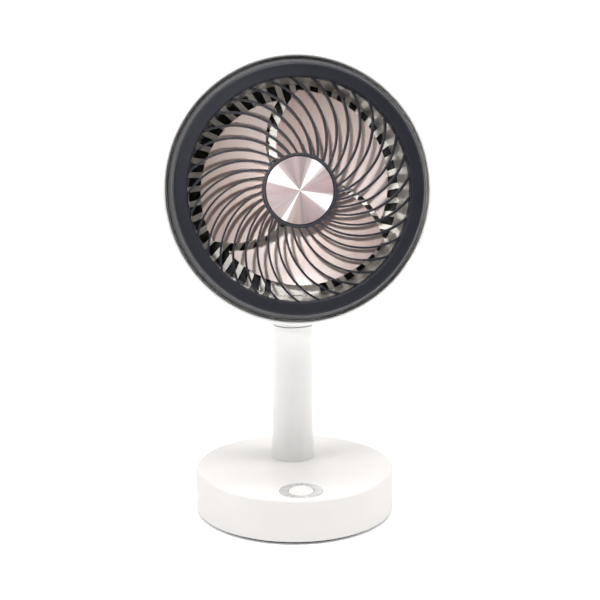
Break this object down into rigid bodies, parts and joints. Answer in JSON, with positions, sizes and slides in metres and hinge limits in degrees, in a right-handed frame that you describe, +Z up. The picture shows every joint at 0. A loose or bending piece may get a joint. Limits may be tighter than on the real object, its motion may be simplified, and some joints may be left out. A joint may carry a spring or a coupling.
{
  "type": "desk fan",
  "caption": "Battery desk fan: round head with curved-rib front grille and broad blades, on a tapered column and round weighted base with a power button.",
  "frame": {"origin": "middle of the base on the surface it stands on", "axes": "+Z up the column, -Y the way the fan blows, +X to the fan's left as it faces you from -Y (right in a front view)"},
  "size_m": [0.205, 0.164, 0.3683],
  "materials": {
    "white_shell": "white moulded plastic, satin",
    "base_plastic": "warm white moulded plastic, fine matt",
    "dark_plastic": "dark grey plastic",
    "black_cover": "black plastic, satin face and glossy side wall",
    "duct_white": "cream white plastic, polished",
    "slat_white": "cream white plastic",
    "blade_smoke": "warm smoke grey plastic, satin gloss",
    "spun_metal": "spun aluminium, fine concentric lines",
    "foot_rubber": "black rubber",
    "steel": "bare steel",
    "screw_steel": "plated screws",
    "board": "circuit board",
    "copper": "enamelled copper wire",
    "cell_sleeve": "sleeved cell",
    "inlet_metal": "plated inlet shell",
    "bearing_steel": "ground bearing steel",
    "magnet": "ferrite magnet",
    "screen_black": "black filter cloth on a moulded frame",
    "nylon": "natural acetal"
  },
  "bodies": {
    "base": {"base_shell": "base_plastic", "bottom_cover": "dark_plastic", "foot_ring": "foot_rubber", "ballast_ring": "steel", "base_screws": "screw_steel", "battery_tray": "dark_plastic", "battery_cells": "cell_sleeve", "usb_inlet": "inlet_metal", "button_ring": "spun_metal", "control_board": "board", "tact_switch": "dark_plastic", "board_screws": "screw_steel", "button_spring": "steel", "column_tube": "white_shell", "column_foot": "dark_plastic", "column_screws": "screw_steel", "column_cap": "dark_plastic", "swivel_motor": "steel", "motor_screws": "screw_steel", "swivel_bush": "nylon"},
    "button": {"button_cap": "base_plastic"},
    "neck": {"neck_front": "white_shell", "neck_rear": "white_shell", "neck_screws": "screw_steel", "neck_yoke": "steel", "tilt_pin": "bearing_steel", "friction_washers": "nylon", "swivel_shaft": "steel"},
    "head": {"head_shell": "white_shell", "air_duct": "duct_white", "rear_grille": "slat_white", "rear_slats": "slat_white", "rear_middle": "slat_white", "dust_screen": "screen_black", "rear_cap": "white_shell", "front_ring": "black_cover", "front_grille": "black_cover", "hub_disc": "spun_metal", "tilt_bracket": "white_shell", "bracket_screws": "screw_steel", "head_screws": "screw_steel", "mount_screws": "screw_steel", "motor_mount": "dark_plastic", "bearings": "bearing_steel", "motor_board": "board", "stator_core": "steel", "stator_coils": "copper"},
    "rotor": {"impeller": "blade_smoke", "rotor_bell": "steel", "ring_magnet": "magnet", "axle": "bearing_steel", "impeller_nut": "dark_plastic"}
  },
  "joints": [
    {"name": "neck_swivel", "type": "hinge", "parent": "base", "child": "neck", "pos_m": [0, 0.022, 0.1516], "axis": [0, 0, 1], "range_deg": [-40, 40]},
    {"name": "head_tilt", "type": "hinge", "parent": "neck", "child": "head", "pos_m": [0, 0.022, 0.1816], "axis": [-1, 0, 0], "range_deg": [-14, 36]},
    {"name": "rotor_spin", "type": "hinge", "parent": "head", "child": "rotor", "pos_m": [0, -0.05522, 0.26719], "axis": [0, -0.9976, 0.0698], "continuous": true},
    {"name": "button_press", "type": "slide", "parent": "base", "child": "button", "axis": [0, 0, -1], "range_m": [0, 0.001], "stiffness_N_per_m": 400, "springref_m": -0.001, "deforming": ["button_spring"]}
  ]
}
